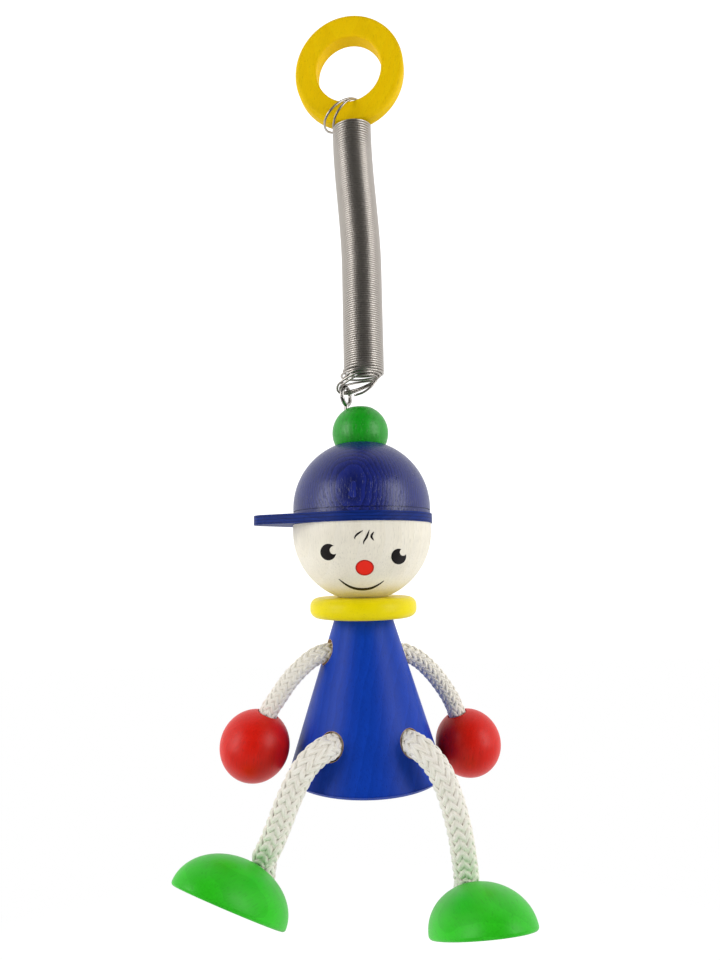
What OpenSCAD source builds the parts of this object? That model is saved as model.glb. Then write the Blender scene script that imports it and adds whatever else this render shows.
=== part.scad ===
// Swinging figure toy: a wooden figure with rope limbs that bounces on a
// close-wound spring below a hanging ring. Millimetres, Z up, figure facing -Y.
// The origin is where the ring hangs: the top of its bore, at mid thickness.

/* [Hanging ring] */
// Outside diameter of the ring
ring_od = 51; // [46:0.2:60]
// Bore of the ring
ring_bore = 30.4; // [26:0.2:32]
// Thickness of the ring
ring_t = 8.2; // [6:0.2:8.4]
// Rounding of the ring's outer edges
ring_round = 2.2; // [0.6:0.2:3]
// Rounding of the edges of the ring's bore
bore_round = 1; // [0.4:0.2:2]
// Turn of the ring about the vertical
ring_turn = -9; // [-20:1:0]
// Lean of the ring's top towards the front
ring_lean = 6; // [0:0.5:8]

/* [Spring] */
// Outside diameter of the coil
spring_od = 18; // [16:0.5:20]
// Thickness of the spring wire
wire_d = 0.9; // [0.7:0.05:0.9]
// Length of the coil
coil_length = 113; // [111:1:125]
// Number of turns drawn in the coil
coil_turns = 80; // [60:1:80]
// Space between the ring's lowest point and the coil
coil_gap = 2.75; // [2.5:0.25:5]
// Sideways place of the coil's top turn
coil_top_x = 0.6; // [0:0.1:1.2]
// Sideways place of the coil's bottom turn
coil_bottom_x = 3.6; // [2:0.1:5]
// Sideways bow of the coil at half height
coil_bow = 1.2; // [0:0.1:2]
// Turns of wire that go round the ring
hanger_turns = 1.8; // [1.6:0.05:1.85]

/* [Screw eye] */
// Thickness of the screw eye's wire
eye_wire = 1.9; // [1.5:0.1:2]
// Hole of the screw eye
eye_hole = 5.9; // [5.6:0.1:7]
// Height of the eye's centre over the bobble's flat top
eye_stand = 5.9; // [5.6:0.1:8]
// Depth of the screw in the bobble
eye_screw = 10; // [6:0.5:11]
// Distance of the screw from the middle of the bobble
eye_off = 4.6; // [4:0.1:5]
// Turn of the eye about the vertical
eye_turn = 64; // [45:1:80]

/* [Cap] */
// Diameter of the bobble on the cap
bobble_d = 24.5; // [23:0.1:28]
// Height of the bobble between its flats
bobble_h = 16.6; // [15:0.2:18]
// Height of the bobble's middle over its lower flat
bobble_mid = 5.7; // [4:0.1:7]
// How far the dome stays inside the head's edge
dome_in = 0.15; // [0:0.05:1]
// Height of the dome
dome_h = 30.5; // [28:0.5:34]
// Diameter of the dome's flat top
dome_flat = 22; // [14:1:26]
// Height of the straight band at the dome's foot
dome_band = 2.6; // [1.5:0.1:4]
// Depth and width of the turned groove over the brim
groove = 0.5; // [0.3:0.1:0.8]
// Thickness of the brim
peak_t = 3.9; // [3:0.1:6]
// How far the round part of the brim stands out past the head
peak_over = 0.55; // [0.2:0.05:2]
// Reach of the peak from the cap's middle
peak_reach = 46; // [40:0.5:60]
// Radius of the peak's round tip
peak_tip_r = 9; // [6:0.5:12]
// Turn of the peak from straight left towards the front
peak_turn = 11; // [0:1:30]

/* [Head and collar] */
// Diameter of the head
head_d = 59.2; // [54:0.1:66]
// Height of the head
head_h = 30.6; // [28:0.5:34]
// Diameter of the flat under the head
head_flat = 20; // [14:1:26]
// Diameter of the collar
collar_d = 45; // [40:1:52]
// Thickness of the collar
collar_t = 8.4; // [7:0.2:12]
// Diameter of the dowel that joins head and torso
dowel_d = 8; // [6:0.5:9]
// Depth of the dowels' ends in the torso and the bobble
dowel_end = 6.5; // [4:0.5:7.5]

/* [Torso] */
// Height of the torso
torso_h = 62.9; // [60:0.1:74]
// Diameter of the torso's top
torso_top = 24.3; // [20:0.1:30]
// Diameter of the torso's base
torso_base = 64; // [56:1:66]
// Rounding of the torso's lower edge
torso_round = 1.2; // [0.6:0.2:3]
// Sideways place of the figure's axis under the ring
axis_x = 2.1; // [1.6:0.1:2.5]

/* [Arms] */
// Thickness of the arm rope
arm_rope_d = 7.8; // [6.5:0.1:7.8]
// Diameter of the arm bore
arm_hole = 10.2; // [9.6:0.1:10.6]
// Depth of the arm bore below the torso's top
arm_drop = 14.4; // [14:0.2:15]
// Turn of the arm bore about the torso
arm_turn = 18; // [17:0.5:19]
// Slope of the arm bore, down to the right
arm_slope = 3; // [2.5:0.5:3.5]
// Diameter of the hands
hand_d = 27.6; // [26:0.1:28]
// Diameter of the hole in a hand
hand_hole = 8.6; // [8.4:0.1:9.4]
// Depth of the hole in a hand
hand_depth = 11; // [9:0.5:13]

/* [Legs] */
// Thickness of the leg rope
leg_rope_d = 9.6; // [8:0.1:9.6]
// Diameter of the legs' holes in torso and feet
leg_hole = 10.4; // [10.2:0.1:10.8]
// Depth of the leg holes below the torso's top
leg_drop = 46.2; // [45.8:0.1:46.6]
// Turn of the left leg's hole from the front
leg_turn_left = 30; // [29:0.5:31]
// Turn of the right leg's hole from the front
leg_turn_right = 41; // [40:0.5:42]
// Length of a foot
foot_l = 49.6; // [45:0.2:54]
// Width of a foot
foot_w = 36.6; // [34:0.2:44]
// Height of a foot
foot_h = 15.6; // [15:0.1:18]
// Distance of a foot's hole from its middle, towards the heel
foot_hole_back = 9.8; // [8:0.2:11]
// Depth of a foot's hole
foot_depth = 9; // [8:0.5:10]
// Lean of a foot's hole from upright
foot_hole_lean = 26; // [23:1:29]

/* [Fits] */
// Gap on each side of a dowel or a screw in its hole
dowel_gap = 0.1; // [0.05:0.05:0.2]
// Gap where two ends of wire or rope meet
end_gap = 0.2; // [0.1:0.05:0.4]

/* [Hidden] */

// Heights of the pieces, each measured down from the one above it
ring_wall = (ring_od - ring_bore) / 2;
ring_mid_z = -ring_bore / 2;
ring_y = -2.1;
coil_top = -ring_bore - ring_wall - coil_gap;
coil_bottom = coil_top - coil_length;
hook_drop = 13.25;
eye_z = coil_bottom - hook_drop;
bobble_top = eye_z - eye_stand;
bobble_bottom = bobble_top - bobble_h;
dome_bottom = bobble_bottom - dome_h;
head_top = dome_bottom - peak_t;
head_bottom = head_top - head_h;
collar_bottom = head_bottom - collar_t;
torso_bottom = collar_bottom - torso_h;
arm_z = collar_bottom - arm_drop;
leg_z = collar_bottom - leg_drop;

dome_d = head_d - 2 * dome_in;
peak_d = head_d + 2 * peak_over;
coil_r = (spring_od - wire_d) / 2;
curl_rings = 8;
wire_sides = 6;
rope_sides = 12;
dowel_hole = dowel_d + 2 * dowel_gap;
// The peak's straight sides start a little inside its two arcs
peak_sink = 0.03;
eye_x = axis_x - eye_off - 1.4;

// Radius of the torso's cone at a height
function torso_r(z) = let (t = (collar_bottom - z) / torso_h)
    (torso_top * (1 - t) + torso_base * t) / 2;

// Where the limbs leave the torso, as directions from its axis
right_arm_way = [cos(arm_turn) * cos(arm_slope), sin(arm_turn) * cos(arm_slope), -sin(arm_slope)];
left_arm_way = -right_arm_way;
left_leg_way = [-sin(leg_turn_left), -cos(leg_turn_left), 0];
right_leg_way = [sin(leg_turn_right), -cos(leg_turn_right), 0];

// Middles of the hands, and the way out of their holes
left_hand_at = [-42.1, -10, -314.3];
left_hand_way = unit([6, 0, 14]);
right_hand_at = [45.9, 10, -320];
right_hand_way = unit([-5, -1, 14]);

// Middles of the soles, the toes' turn from the front, and their rise
left_foot_at = [-46.3, -38.6, -360.5];
left_toe_turn = -37.8;
left_toe_rise = 34.6;
right_foot_at = [41.1, -38.8, -370];
right_toe_turn = 11.4;
right_toe_rise = 25.3;

// Free stretches of the four ropes, from the torso outwards
left_arm_route = [
    [-11.6, -4.4, -279.3], [-15.4, -5.9, -279.7], [-19.4, -7.3, -281.4], [-24.2, -8.7, -285.2],
    [-28.7, -9.5, -290], [-32.6, -9.9, -295.4]
];
right_arm_route = [
    [15.4, 4.3, -280.8], [20, 5.6, -281.4], [26, 7, -284.8], [31.6, 8.1, -290.4],
    [36.2, 9, -296.6], [39.5, 9.4, -302.2]
];
left_leg_route = [
    [-11.4, -23.3, -311.8], [-15.2, -28.2, -312.5], [-19.5, -29.9, -315.9], [-23, -30, -321.1],
    [-26.9, -29.6, -329.1], [-30.1, -28.8, -337], [-32.8, -28, -343.4]
];
right_leg_route = [
    [19.8, -20.4, -311.8], [23.1, -26.9, -312.3], [26.8, -28.8, -316], [30, -29.2, -321.2],
    [33.2, -28.7, -330], [35.7, -27.8, -340.2], [37, -26.6, -348.4]
];

// Route of the spring's last turn: down from the coil, through the eye,
// round its top and back, with a free tail; measured from the eye's centre
hook_route = [
    [14.2, -5.4, 12.2], [9.8, -7.9, 10], [4.4, -6.4, 7], [3.2, -3.2, 3.6], [0, 0, 2.1],
    [-3, 1.5, 2.1], [-4.7, 1.6, 3], [-4.9, 1.2, 4.9], [-3.4, 0.6, 6.3], [-0.4, 0.1, 6.6],
    [4, 1.6, 7.5], [9, 3.4, 8.7], [13, 2.4, 9], [14, -1, 8], [11.6, -4, 5.4],
    [7.6, -5, 2.4], [4.6, -4.8, 0.6]
];

function unit(v) = v / norm(v);

// Points along a smooth curve through the given points
function blend_point(a, b, c, d, t) = (2 * b + (c - a) * t + (2 * a - 5 * b + 4 * c - d) * t * t
    + (3 * b - a - 3 * c + d) * t * t * t) / 2;
function smooth(p, steps) = let (n = len(p)) concat(
    [for (i = [0 : n - 2], s = [0 : steps - 1])
        blend_point(p[max(i - 1, 0)], p[i], p[i + 1], p[min(i + 2, n - 1)], s / steps)],
    [p[n - 1]]);

// A tube of round section along a path; across never points along the path
function heading(p, i) = unit(p[min(i + 1, len(p) - 1)] - p[max(i - 1, 0)]);
function tube_ring(p, i, r, sides, across) = let (
    w = heading(p, i), u = unit(cross(across, w)), v = cross(w, u))
    [for (k = [0 : sides - 1]) p[i] + r * (cos(360 * k / sides) * u + sin(360 * k / sides) * v)];
module tube(p, d, sides, across) {
    n = len(p);
    last = (n - 1) * sides;
    points = [for (i = [0 : n - 1]) each tube_ring(p, i, d / 2, sides, across)];
    walls = [for (i = [0 : n - 2], k = [0 : sides - 1]) let (
        a = i * sides + k, b = i * sides + (k + 1) % sides) each
        [[a, a + sides, b + sides], [a, b + sides, b]]];
    start = [for (k = [1 : sides - 2]) [0, k, k + 1]];
    end = [for (k = [1 : sides - 2]) [last, last + k + 1, last + k]];
    polyhedron(points, concat(walls, start, end));
}

// Least distance between parts of a path that lie more than skip points apart, less the wire
function self_gap(p, skip, reach, d) = min([for (i = [0 : len(p) - 1 - skip])
    for (j = [i + skip : min(i + reach, len(p) - 1)]) norm(p[i] - p[j])]) - d;

// The coil's middle line bows a little to the side
function coil_x(t) = coil_top_x + (coil_bottom_x - coil_top_x) * t + 4 * coil_bow * t * (1 - t);
function coil_point(turns) = let (t = turns / coil_turns, a = 180 - 360 * turns) [
    coil_x(t) + coil_r * cos(a), coil_r * sin(a), coil_top - wire_d / 2 - (coil_length - wire_d) * t];
coil_end_turn = floor(coil_turns) - 0.5;
coil_path = concat(
    [coil_point(0) - [0, wire_d, 0]],
    [for (i = [0 : coil_end_turn * curl_rings]) coil_point(i / curl_rings)],
    [coil_point(coil_end_turn) - [0, wire_d, 0]]);
coil_start = coil_path[0];
coil_end = coil_path[len(coil_path) - 1];

// The hanger's turns go round the ring's section on the slant, each a little further left
hanger_slant = 54;
hanger_long = 10;
hanger_deep = 7.4;
hanger_back = 2.2;
hanger_top_step = 1.4;
hanger_low_step = 3.2;
hanger_rings = 24;
hanger_low = coil_start - [0, end_gap, 0];
function hanger_point(s) = let (a = 180 + 360 * s, low = (1 - cos(a)) / 2) hanger_low
    + hanger_long * (1 + cos(a)) * [cos(hanger_slant), -0.05, sin(hanger_slant)]
    + [0, hanger_deep * sin(a) + hanger_back * (1 - cos(360 * min(s, 0.5))) / 2, 0]
    - s * (hanger_top_step + (hanger_low_step - hanger_top_step) * low) * [1, 0, 0];
hanger_path = concat(
    [hanger_low],
    [for (i = [1 : hanger_turns * hanger_rings]) hanger_point(i / hanger_rings)]);

hook_path = concat(
    [coil_end - [0, end_gap, 0], coil_end - [0, end_gap + wire_d, 0]],
    smooth([for (q = hook_route) q + [eye_x, 0, eye_z]], 3));

echo(coil_gap_to_itself = self_gap(coil_path, 5, 18, wire_d));
echo(hanger_gap_to_itself = self_gap(hanger_path, 8, 60, wire_d));
echo(hook_gap_to_itself = self_gap(hook_path, 6, 80, wire_d));

// The foot's own frame: toe towards -Y, sole at zero
hole_rise = foot_h * sqrt(1 - pow(2 * foot_hole_back / foot_l, 2));
module place_foot(at, turn, rise) {
    translate(at) rotate([0, 0, turn]) rotate([-rise, 0, 0]) children();
}
function foot_point(at, turn, rise, q) = let (
    y = q[1] * cos(rise) + q[2] * sin(rise), z = q[2] * cos(rise) - q[1] * sin(rise))
    at + [q[0] * cos(turn) - y * sin(turn), q[0] * sin(turn) + y * cos(turn), z];
function foot_hole_point(depth) = [0, foot_hole_back + depth * sin(foot_hole_lean),
    hole_rise - depth * cos(foot_hole_lean)];

function arm_path(way, route, at, hand_way) = concat(
    [[axis_x, 0, arm_z] + end_gap * way, [axis_x, 0, arm_z] + torso_r(arm_z) / 2 * way],
    smooth(route, 2),
    [at + (hand_d / 2 + 1.5) * hand_way, at + (hand_d / 2 - hand_depth + end_gap) * hand_way]);
function leg_path(way, route, at, turn, rise) = concat(
    [[axis_x, 0, leg_z] + leg_root * way, [axis_x, 0, leg_z] + 2 * leg_root * way],
    smooth(route, 2),
    [foot_point(at, turn, rise, foot_hole_point(-4.5)),
     foot_point(at, turn, rise, foot_hole_point(foot_depth - 2 * end_gap))]);

// The leg holes stop short of each other near the torso's axis
leg_root = leg_hole / 2 / tan((leg_turn_left + leg_turn_right) / 2) + 1;

module hanging_ring() {
    color("gold")
    translate([0, ring_y, ring_mid_z]) rotate([90 + ring_lean, 0, ring_turn])
    rotate_extrude($fn = 96) translate([ring_bore / 2, -ring_t / 2])
    rounded_box(ring_wall, ring_t, bore_round, ring_round);
}

// A rectangle with true arcs at its corners, of one radius inside and one outside
module rounded_box(w, h, inner, outer) {
    union() {
        translate([inner, 0]) square([w - inner - outer, h]);
        translate([0, inner]) square([w / 2, h - 2 * inner]);
        translate([w / 2, outer]) square([w / 2, h - 2 * outer]);
        for (y = [inner, h - inner]) translate([inner, y]) circle(inner, $fn = 32);
        for (y = [outer, h - outer]) translate([w - outer, y]) circle(outer, $fn = 32);
    }
}

module spring_hanger() {
    color("silver") tube(hanger_path, wire_d, wire_sides, [-sin(hanger_slant), 0, cos(hanger_slant)]);
}

module spring_coil() {
    color("silver") tube(coil_path, wire_d, wire_sides, [0, 0, 1]);
}

module spring_hook() {
    color("silver") tube(hook_path, wire_d, wire_sides, [0.35, 0.15, 1]);
}

// The screw leans out from its hole to the eye
module screw_eye() {
    color("lightgray") union() {
        translate([eye_x, 0, eye_z]) rotate([90, 0, eye_turn])
        rotate_extrude($fn = 48) translate([(eye_hole + eye_wire) / 2, 0]) circle(eye_wire / 2, $fn = 24);
        translate([eye_x, 0, bobble_top + eye_wire / 2]) screw_bar(eye_stand - eye_hole / 2 - eye_wire);
        translate([eye_x, 0, bobble_top - eye_screw]) screw_bar(eye_screw + eye_wire);
    }
}

module screw_bar(h) {
    cylinder(d = eye_wire, h = h + eye_wire / 4, $fn = 24);
}

// A ball cut flat above and below
module cap_bobble() {
    color("green") difference() {
        translate([axis_x, 0, bobble_bottom]) rotate_extrude($fn = 96) difference() {
            intersection() {
                translate([0, bobble_mid]) half_disc(bobble_d);
                square([bobble_d, bobble_h]);
            }
            translate([0, -1]) square([dowel_hole / 2, dowel_end + dowel_gap + 1]);
        }
        translate([eye_x, 0, bobble_top - eye_screw - dowel_gap])
        cylinder(d = eye_wire + 2 * dowel_gap, h = eye_screw + 1, $fn = 24);
    }
}

// Profile of a half ball with a flat and a straight band, standing on z = 0
module half_ball_profile(d, h, flat, band) {
    rise = sqrt(d * d - flat * flat) / 2;
    intersection() {
        union() {
            translate([0, h - rise]) circle(d / 2, $fn = 96);
            square([d / 2, h - rise]);
        }
        square([d / 2, h]);
    }
}

module cap_dome() {
    color("midnightblue") translate([axis_x, 0, dome_bottom]) rotate_extrude($fn = 96) difference() {
        half_ball_profile(dome_d, dome_h, dome_flat, dome_band);
        translate([dome_d / 2 - groove, dome_band / 2]) square([groove + 1, groove]);
        translate([0, -1]) square([dowel_hole / 2, dome_h + 2]);
    }
}

// The brim is a round plate with a peak drawn out to one side
module cap_peak() {
    reach = peak_reach - peak_tip_r;
    lean = asin((peak_d / 2 - peak_tip_r) / reach);
    edge = [-sin(lean), cos(lean)];
    back_r = peak_d / 2 - peak_sink;
    front_r = peak_tip_r - peak_sink;
    color("mediumblue") translate([axis_x, 0, head_top]) rotate([0, 0, peak_turn]) difference() {
        linear_extrude(peak_t) union() {
            circle(d = peak_d, $fn = 96);
            translate([-reach, 0]) circle(peak_tip_r, $fn = 48);
            polygon([
                back_r * edge, [-reach, 0] + front_r * edge,
                [-reach, 0] + front_r * [edge[0], -edge[1]], back_r * [edge[0], -edge[1]]
            ]);
        }
        translate([0, 0, -1]) cylinder(d = dowel_hole, h = peak_t + 2, $fn = 48);
    }
}

module cap_dowel() {
    color("burlywood") translate([axis_x, 0, dome_bottom])
    cylinder(d = dowel_d, h = dome_h + dowel_end, $fn = 48);
}

module head() {
    color("wheat") translate([axis_x, 0, head_top]) mirror([0, 0, 1]) rotate_extrude($fn = 96)
    difference() {
        half_ball_profile(head_d, head_h, head_flat, 2);
        translate([0, -1]) square([dowel_hole / 2, head_h + 2]);
    }
}

module neck_dowel() {
    color("burlywood") translate([axis_x, 0, collar_bottom - dowel_end])
    cylinder(d = dowel_d, h = dowel_end + collar_t + head_h + peak_t, $fn = 48);
}

module collar() {
    color("yellow") translate([axis_x, 0, collar_bottom]) rotate_extrude($fn = 96) difference() {
        rounded_disc_profile(collar_d, collar_t, collar_t * 0.42);
        translate([0, -1]) square([dowel_hole / 2, collar_t + 2]);
    }
}

module rounded_disc_profile(d, h, r) {
    union() {
        square([d / 2 - r, h]);
        translate([0, r]) square([d / 2, h - 2 * r]);
        for (y = [r, h - r]) translate([d / 2 - r, y]) circle(r, $fn = 48);
    }
}

module torso() {
    slope = (torso_base - torso_top) / 2 / torso_h;
    r_low = torso_base / 2 - torso_round;
    color("royalblue") difference() {
        translate([axis_x, 0, torso_bottom]) rotate_extrude($fn = 96) difference() {
            union() {
                polygon([[0, 0], [r_low, 0], [r_low + torso_round, torso_round],
                    [torso_base / 2 - slope * torso_round, torso_round], [torso_top / 2, torso_h], [0, torso_h]]);
            }
            translate([0, torso_h - dowel_end - dowel_gap]) square([dowel_hole / 2, dowel_end + 2]);
        }
        translate([axis_x, 0, arm_z]) rotate([0, 90 + arm_slope, arm_turn])
        cylinder(d = arm_hole, h = torso_base, center = true, $fn = 48);
        for (turn = [leg_turn_left, -leg_turn_right])
            translate([axis_x, 0, leg_z]) rotate([90, 0, -turn])
            translate([0, 0, leg_root - end_gap]) cylinder(d = leg_hole, h = torso_base, $fn = 48);
    }
}

module hand(at, way) {
    color("red") translate(at) look_along(way) rotate_extrude($fn = 64) difference() {
        half_disc(hand_d);
        translate([0, hand_d / 2 - hand_depth]) square([hand_hole / 2, hand_depth + 1]);
    }
}

// The half of a disc to the right of the Y axis
module half_disc(d) {
    intersection() {
        circle(d / 2, $fn = 96);
        translate([0, -d / 2]) square([d / 2, d]);
    }
}

// Turns the Z axis to a direction
module look_along(way) {
    rotate([0, acos(way[2]), atan2(way[1], way[0])]) children();
}

module left_hand() {
    hand(left_hand_at, left_hand_way);
}

module right_hand() {
    hand(right_hand_at, right_hand_way);
}

module left_arm_rope() {
    color("beige") tube(arm_path(left_arm_way, left_arm_route, left_hand_at, left_hand_way),
        arm_rope_d, rope_sides, [sin(arm_turn), -cos(arm_turn), 0]);
}

module right_arm_rope() {
    color("beige") tube(arm_path(right_arm_way, right_arm_route, right_hand_at, right_hand_way),
        arm_rope_d, rope_sides, [sin(arm_turn), -cos(arm_turn), 0]);
}

module left_leg_rope() {
    color("beige")
    tube(leg_path(left_leg_way, left_leg_route, left_foot_at, left_toe_turn, left_toe_rise),
        leg_rope_d, rope_sides, [cos(leg_turn_left), -sin(leg_turn_left), 0]);
}

module right_leg_rope() {
    color("beige")
    tube(leg_path(right_leg_way, right_leg_route, right_foot_at, right_toe_turn, right_toe_rise),
        leg_rope_d, rope_sides, [cos(leg_turn_right), sin(leg_turn_right), 0]);
}

// Half an egg on a flat sole, with the sole's edge rounded
foot_sides = 36;
foot_rows = 9;
foot_round = 1.2;
module half_egg() {
    function row_point(k, size, z) = [
        size * foot_w / 2 * cos(360 * k / foot_sides), size * foot_l / 2 * sin(360 * k / foot_sides), z];
    top = foot_sides * foot_rows;
    points = concat(
        [for (k = [0 : foot_sides - 1]) row_point(k, 1 - 2 * foot_round / foot_w, 0)],
        [for (i = [0 : foot_rows - 2], k = [0 : foot_sides - 1]) let (a = 90 * i / (foot_rows - 1))
            row_point(k, cos(a), foot_round + (foot_h - foot_round) * sin(a))],
        [[0, 0, foot_h]]);
    walls = [for (i = [0 : foot_rows - 2], k = [0 : foot_sides - 1]) let (
        a = i * foot_sides + k, b = i * foot_sides + (k + 1) % foot_sides) each
        [[a, a + foot_sides, b + foot_sides], [a, b + foot_sides, b]]];
    cap = [for (k = [0 : foot_sides - 1]) let (a = top - foot_sides)
        [a + k, top, a + (k + 1) % foot_sides]];
    sole = [for (k = [1 : foot_sides - 2]) [0, k, k + 1]];
    polyhedron(points, concat(walls, cap, sole));
}

module foot(at, turn, rise) {
    color("limegreen") place_foot(at, turn, rise) difference() {
        half_egg();
        translate(foot_hole_point(foot_depth)) rotate([foot_hole_lean, 0, 0])
        cylinder(d = leg_hole, h = foot_depth + foot_h, $fn = 48);
    }
}

module left_foot() {
    foot(left_foot_at, left_toe_turn, left_toe_rise);
}

module right_foot() {
    foot(right_foot_at, right_toe_turn, right_toe_rise);
}

hanging_ring();
spring_hanger();
spring_coil();
spring_hook();
screw_eye();
cap_bobble();
cap_dome();
cap_peak();
cap_dowel();
head();
neck_dowel();
collar();
torso();
left_arm_rope();
left_hand();
right_arm_rope();
right_hand();
left_leg_rope();
left_foot();
right_leg_rope();
right_foot();
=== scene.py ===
# Looks of a swinging wooden figure toy: a figure with rope limbs, hung by a
# close-wound spring from a ring. Lengths in comments and routes are millimetres.

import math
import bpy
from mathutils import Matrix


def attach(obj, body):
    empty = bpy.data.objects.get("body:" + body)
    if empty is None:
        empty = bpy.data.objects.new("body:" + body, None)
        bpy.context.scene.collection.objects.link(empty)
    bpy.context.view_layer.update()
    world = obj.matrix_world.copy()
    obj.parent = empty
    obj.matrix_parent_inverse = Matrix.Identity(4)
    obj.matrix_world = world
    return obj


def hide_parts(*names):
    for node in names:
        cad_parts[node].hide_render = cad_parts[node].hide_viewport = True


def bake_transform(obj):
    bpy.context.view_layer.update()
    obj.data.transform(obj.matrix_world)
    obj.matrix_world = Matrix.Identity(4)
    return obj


bl_info = {
    "name": "Swinging Figure Toy",
    "version": (1, 0, 0),
    "blender": (4, 5, 0),
    "location": "View3D > Sidebar > Toy",
    "description": "Builds the spring, ropes, feet, painted face and finishes of a swinging wooden figure",
    "category": "Object",
}

import bmesh
import bpy
from bpy.props import FloatProperty, FloatVectorProperty, IntProperty, PointerProperty
from mathutils import Matrix, Vector

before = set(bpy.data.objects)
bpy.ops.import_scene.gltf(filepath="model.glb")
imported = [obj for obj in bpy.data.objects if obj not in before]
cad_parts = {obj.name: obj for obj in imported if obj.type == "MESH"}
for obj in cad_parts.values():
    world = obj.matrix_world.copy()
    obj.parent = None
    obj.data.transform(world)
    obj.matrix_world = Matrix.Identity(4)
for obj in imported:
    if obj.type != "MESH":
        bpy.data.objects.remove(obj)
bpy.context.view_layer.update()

MM = 0.001

# A wave texture of scale 1 repeats at this distance, in metres
WAVE = 0.314

# Places on the toy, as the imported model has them
AXIS_X = 2.1
HEAD_MIDDLE = Vector((AXIS_X, 0, -229.34))
HEAD_RADIUS = 29.6
COIL_TOP_Z = -43.45
COIL_BOTTOM_Z = -156.45
EYE_MIDDLE = Vector((-3.9, 0, -169.7))
# The middle of each hand's ball, and the way out of its hole
HANDS = {
    "left": (Vector((-42.1, -10, -314.3)), Vector((6, 0, 14)).normalized()),
    "right": (Vector((45.9, 10, -320)), Vector((-5, -1, 14)).normalized()),
}
# The middle of each foot's sole, its turn to the side and the rise of its toes, in degrees
FEET = {
    "left": (Vector((-46.3, -38.6, -360.5)), -37.8, 34.6),
    "right": (Vector((41.1, -38.8, -370)), 11.4, 25.3),
}

# The torso's arm bore and leg holes: the points they run from, their radii, and their ways,
# to the right for the arms and outwards for the legs
ARM_BORE_MIDDLE = Vector((AXIS_X, 0, -280))
ARM_BORE_RADIUS = 5.1
ARM_WAY = Vector((0.9497, 0.3086, -0.0523))
LEG_HOLES_MIDDLE = Vector((AXIS_X, 0, -311.8))
LEG_HOLE_RADIUS = 5.2
LEG_WAYS = {"left": Vector((-0.5, -0.866, 0)), "right": Vector((0.6561, -0.7547, 0))}

# A foot: half width, half length and height of its egg, the flat band under that, the
# rounding of the sole's edge, and the angle past which its edges show sharp
FOOT_EGG = (18.2, 24.6, 14.4)
FOOT_BAND = 1.2
FOOT_ROUNDING = 1.15
FOOT_SHARP = 40
# The hole in a foot, of the same radius as a leg hole, on the solid foot's length and height
FOOT_LENGTH = 49.6
FOOT_HEIGHT = 15.6
FOOT_HOLE_BACK = 9.8
FOOT_HOLE_DEPTH = 9
FOOT_HOLE_LEAN = math.radians(26)
DRILL_LENGTH = 30

# Where a rope is straight in its holes: two distances along the arm bore, along a leg hole,
# from the middle of a hand, and below the mouth of a foot's hole
ARM_ROOT = (0.2, 8.3)
LEG_ROOT = (8.3, 16.6)
HAND_END = (15.3, 3)
FOOT_END = (-4.5, 8.6)

# Length of a rope's end that is bound thin inside a hand or foot, and the share it loses
BOUND_END = 7.2
BOUND_SHARE = 0.45

# The braid: the step along a rope, and how far a strand rises over its neighbours and how far
# it bulges, in rope thicknesses
BRAID_STEP = 0.5
STRAND_LIFT = 0.03
STRAND_BULGE = 0.055

# Free stretches of the four ropes, from the torso outwards
ROPE_ROUTES = {
    "left_arm": [
        (-11.6, -4.4, -279.3), (-15.4, -5.9, -279.7), (-19.4, -7.3, -281.4),
        (-24.2, -8.7, -285.2), (-28.7, -9.5, -290), (-32.6, -9.9, -295.4),
    ],
    "right_arm": [
        (15.4, 4.3, -280.8), (20, 5.6, -281.4), (26, 7, -284.8),
        (31.6, 8.1, -290.4), (36.2, 9, -296.6), (39.5, 9.4, -302.2),
    ],
    "left_leg": [
        (-11.4, -23.3, -311.8), (-15.2, -28.2, -312.5), (-19.5, -29.9, -315.9), (-23, -30, -321.1),
        (-26.9, -29.6, -329.1), (-30.1, -28.8, -337), (-32.8, -28, -343.4),
    ],
    "right_leg": [
        (19.8, -20.4, -311.8), (23.1, -26.9, -312.3), (26.8, -28.8, -316), (30, -29.2, -321.2),
        (33.2, -28.7, -330), (35.7, -27.8, -340.2), (37, -26.6, -348.4),
    ],
}

# Close turns that follow below the coil before the hook
LOW_TURNS = 3.42
# The coil's place from left to right at its top, its bow to the right, the share of its length
# over which it bows, and how far it leans to the right over its whole length
COIL_TOP_X = 0.6
COIL_BOW = 3.2
COIL_BOW_SHARE = 0.6
COIL_LEAN = 0.4
# Turns at the top that the ring draws up, and how far: evenly, more behind, more at the right
TOP_DRAWN_TURNS = 12
TOP_DRAWN = (3.2, 1.8, 0.5)
# Turns at the bottom that the hook draws out, and how far: down, to the left
LOW_DRAWN_TURNS = 2.2
LOW_DRAWN = (2.2, 2)
# How fast both fade along the coil, and how closely the lower keeps to the left side
DRAWN_FADE = 1.3
DRAWN_SIDE = 1.4

# The turns round the ring: points in all and in one turn, slant in degrees, half height along
# the slant and half depth, lean to the back, and the step to the left and down in each turn
HANGER_POINTS = 44
HANGER_TURN_POINTS = 24
HANGER_SLANT = 49
HANGER_HALF_HEIGHT = 9.35
HANGER_HALF_DEPTH = 9.5
HANGER_BACK = 0.3
HANGER_STEP = (4.1, 0.45)

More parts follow.
